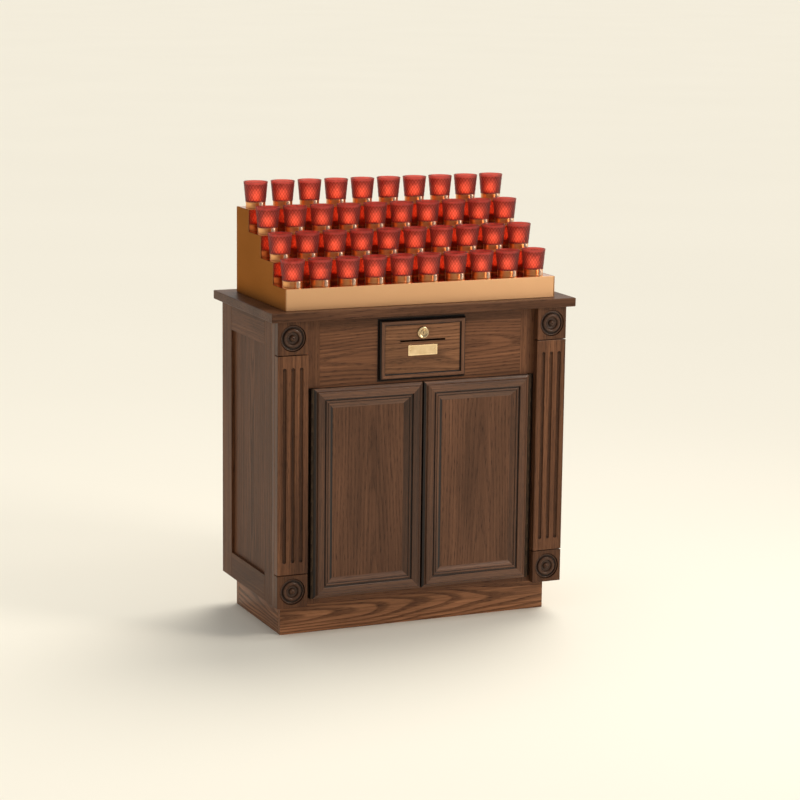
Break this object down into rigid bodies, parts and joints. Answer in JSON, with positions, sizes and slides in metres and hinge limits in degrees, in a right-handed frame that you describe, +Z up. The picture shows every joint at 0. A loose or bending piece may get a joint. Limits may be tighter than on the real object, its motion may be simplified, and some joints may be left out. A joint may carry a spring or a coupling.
{
  "type": "votive candle rack",
  "caption": "Stained oak cabinet with two doors and a locking offering drawer, carrying a stepped brass rack of ruby-glass electric votive lights with push-buttons.",
  "frame": {"origin": "on the floor, under the middle of the counter top's outline", "axes": "+Z up, the front with the doors and the drawer faces -Y, +X to the right of a person facing the front"},
  "size_m": [0.914, 0.474, 1.2299],
  "materials": {
    "oak": "dark walnut-stained oak, satin lacquer",
    "oak_plinth": "stained oak with cathedral grain, satin lacquer",
    "oak_inside": "plain stained board, matt",
    "bronze": "dark oil-rubbed bronze",
    "polished_brass": "polished brass",
    "rack_brass": "satin brass-coloured sheet",
    "mirror_metal": "mirror-polished sheet",
    "button_metal": "bright",
    "ruby_glass": "ruby glass with a pressed diamond pattern"
  },
  "bodies": {
    "cabinet": {"plinth": "oak_plinth", "cabinet_floor": "oak_inside", "side_left": "oak", "side_right": "oak", "back_panel": "oak_inside", "counter_top": "oak", "face_frame": "oak", "pilaster_left": "oak", "pilaster_right": "oak", "hinge_left": "bronze", "hinge_right": "bronze", "rack_casing": "rack_brass", "lamp_deck": "mirror_metal"},
    "door_left": {"door_left": "oak"},
    "door_right": {"door_right": "oak"},
    "drawer": {"drawer_front": "oak", "drawer_box": "oak_inside", "name_plate": "polished_brass"},
    "lock": {"lock_plug": "polished_brass"},
    "buttons": {"push_buttons": "button_metal"},
    "glasses_1": {"glass_1_01": "ruby_glass", "glass_1_02": "ruby_glass", "glass_1_03": "ruby_glass", "glass_1_04": "ruby_glass", "glass_1_05": "ruby_glass", "glass_1_06": "ruby_glass", "glass_1_07": "ruby_glass", "glass_1_08": "ruby_glass", "glass_1_09": "ruby_glass", "glass_1_10": "ruby_glass"},
    "glasses_2": {"glass_2_01": "ruby_glass", "glass_2_02": "ruby_glass", "glass_2_03": "ruby_glass", "glass_2_04": "ruby_glass", "glass_2_05": "ruby_glass", "glass_2_06": "ruby_glass", "glass_2_07": "ruby_glass", "glass_2_08": "ruby_glass", "glass_2_09": "ruby_glass", "glass_2_10": "ruby_glass"},
    "glasses_3": {"glass_3_01": "ruby_glass", "glass_3_02": "ruby_glass", "glass_3_03": "ruby_glass", "glass_3_04": "ruby_glass", "glass_3_05": "ruby_glass", "glass_3_06": "ruby_glass", "glass_3_07": "ruby_glass", "glass_3_08": "ruby_glass", "glass_3_09": "ruby_glass", "glass_3_10": "ruby_glass"},
    "glasses_4": {"glass_4_01": "ruby_glass", "glass_4_02": "ruby_glass", "glass_4_03": "ruby_glass", "glass_4_04": "ruby_glass", "glass_4_05": "ruby_glass", "glass_4_06": "ruby_glass", "glass_4_07": "ruby_glass", "glass_4_08": "ruby_glass", "glass_4_09": "ruby_glass", "glass_4_10": "ruby_glass"}
  },
  "joints": [
    {"name": "door_left_swing", "type": "hinge", "parent": "cabinet", "child": "door_left", "pos_m": [-0.331, -0.2096, 0.403], "axis": [0, 0, -1], "range_deg": [0, 100]},
    {"name": "door_right_swing", "type": "hinge", "parent": "cabinet", "child": "door_right", "pos_m": [0.331, -0.2096, 0.403], "axis": [0, 0, 1], "range_deg": [0, 100]},
    {"name": "drawer_slide", "type": "slide", "parent": "cabinet", "child": "drawer", "axis": [0, -1, 0], "range_m": [0, 0.25]},
    {"name": "lock_turn", "type": "hinge", "parent": "drawer", "child": "lock", "pos_m": [0, -0.21, 0.8355], "axis": [0, -1, 0], "range_deg": [0, 90]},
    {"name": "buttons_press", "type": "slide", "parent": "cabinet", "child": "buttons", "axis": [0, 0, -1], "range_m": [0, 0.003], "stiffness_N_per_m": 3000, "springref_m": -0.006},
    {"name": "glasses_1_lift", "type": "slide", "parent": "cabinet", "child": "glasses_1", "axis": [0, 0, 1], "range_m": [0, 0.08]},
    {"name": "glasses_2_lift", "type": "slide", "parent": "cabinet", "child": "glasses_2", "axis": [0, 0, 1], "range_m": [0, 0.08]},
    {"name": "glasses_3_lift", "type": "slide", "parent": "cabinet", "child": "glasses_3", "axis": [0, 0, 1], "range_m": [0, 0.08]},
    {"name": "glasses_4_lift", "type": "slide", "parent": "cabinet", "child": "glasses_4", "axis": [0, 0, 1], "range_m": [0, 0.08]}
  ]
}
